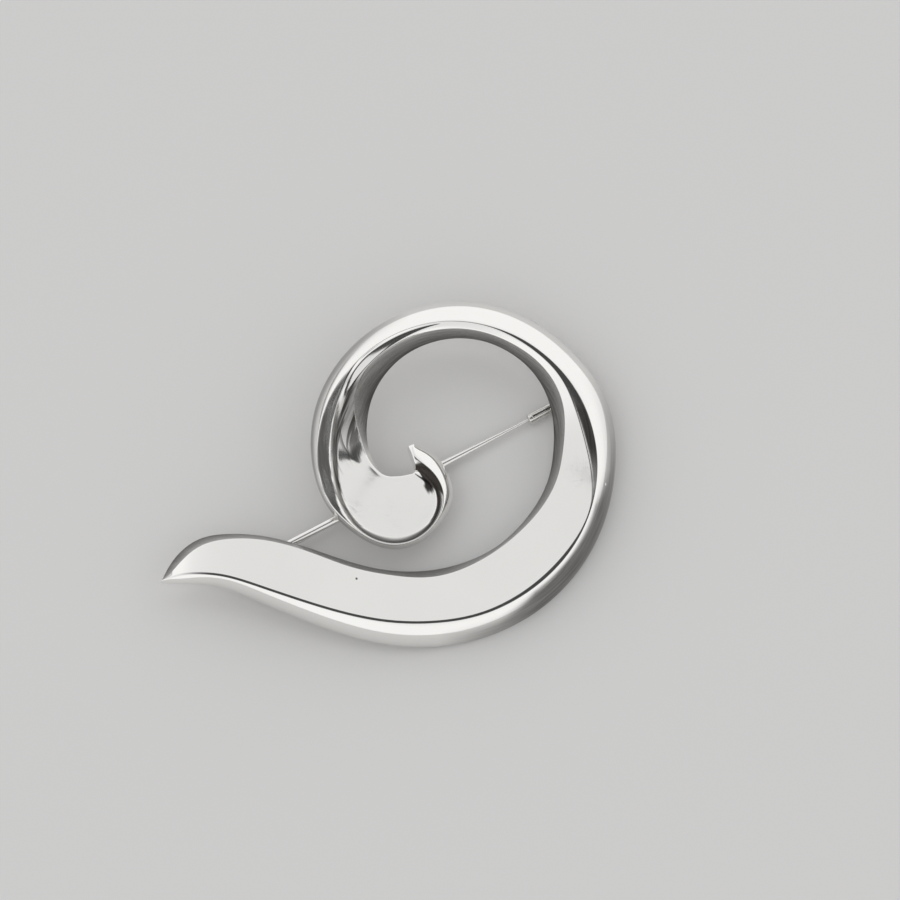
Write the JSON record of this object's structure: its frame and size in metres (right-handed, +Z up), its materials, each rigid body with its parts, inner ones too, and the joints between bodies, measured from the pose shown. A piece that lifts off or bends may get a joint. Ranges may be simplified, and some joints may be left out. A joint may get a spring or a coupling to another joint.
{
  "type": "brooch",
  "caption": "Polished spiral brooch for a scarf: a ridged silver ribbon curls from a pointed tail into a ring and a hollow paddle, with a hinged pin and a catch behind.",
  "frame": {"origin": "centre of the base of the bounding box, on the surface that the brooch lies on", "axes": "+Z up from that surface and out of the front; +X from the tail to the ring; the back is tilted 7.2 degrees because the brooch lies on its hinge, its catch and its rim"},
  "size_m": [0.0502, 0.0394, 0.0073],
  "materials": {
    "polished_silver": "polished sterling silver, cast and buffed",
    "pin_wire": "hard-drawn silver wire, polished",
    "rivet_wire": "silver wire with filed heads"
  },
  "bodies": {
    "brooch": {"spiral_body": "polished_silver", "hinge_rivet": "rivet_wire"},
    "pin": {"pin_stem": "pin_wire"}
  },
  "joints": [
    {"name": "pin_hinge", "type": "hinge", "parent": "brooch", "child": "pin", "pos_m": [-0.01536, -0.00975, 0.00128], "axis": [-0.4678, 0.8751, 0.124], "range_deg": [0, 75]}
  ]
}
